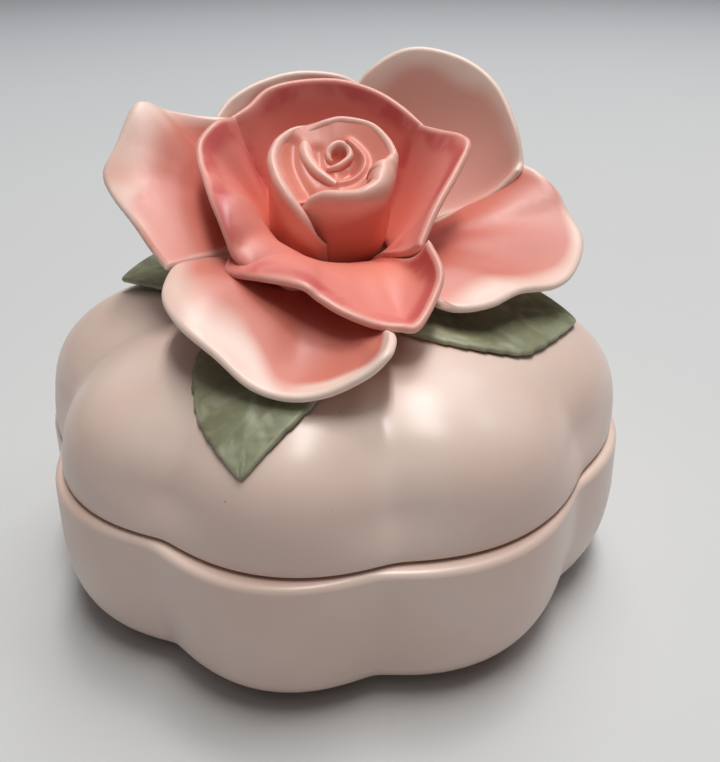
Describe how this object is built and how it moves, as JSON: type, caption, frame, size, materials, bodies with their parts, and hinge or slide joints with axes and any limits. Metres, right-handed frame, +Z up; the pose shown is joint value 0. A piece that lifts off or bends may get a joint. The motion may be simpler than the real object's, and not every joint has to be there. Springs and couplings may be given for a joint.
{
  "type": "lidded trinket box",
  "caption": "Round lobed bisque porcelain trinket box with a domed lift-off lid that carries a hand-made rose and leaves.",
  "frame": {"origin": "on the box's vertical axis, at the plane of its foot", "axes": "+Z up through the lid; +X and +Y through the crests of two lobes of the bowl, and the rose's front faces -Y, turned a little towards +X"},
  "size_m": [0.1191, 0.1194, 0.0971],
  "materials": {
    "bisque_body": "satin bisque porcelain, warm pinkish cream",
    "rose_bud": "satin bisque, air-brushed peach pink",
    "rose_inner": "satin bisque, air-brushed deep coral",
    "rose_outer": "satin bisque, coral fading to cream edges",
    "leaf_green": "satin bisque, mottled sage green wash"
  },
  "bodies": {
    "base": {"base_bowl": "bisque_body"},
    "lid": {"lid_shell": "bisque_body", "rose_pad": "bisque_body", "bud_core": "rose_bud", "bud_swirl": "rose_bud", "bud_fold": "rose_bud", "bud_wrap_left": "rose_bud", "bud_wrap_right": "rose_bud", "inner_petal_left": "rose_inner", "inner_petal_back": "rose_inner", "inner_petal_right": "rose_inner", "inner_petal_front": "rose_inner", "outer_petal_left": "rose_outer", "outer_petal_front": "rose_outer", "outer_petal_right": "rose_outer", "outer_petal_back_right": "rose_outer", "outer_petal_back_left": "rose_outer", "leaf_front": "leaf_green", "leaf_right": "leaf_green", "leaf_left": "leaf_green"}
  },
  "joints": [
    {"name": "lid_lift", "type": "slide", "parent": "base", "child": "lid", "axis": [0, 0, 1], "range_m": [0, 0.08]}
  ]
}
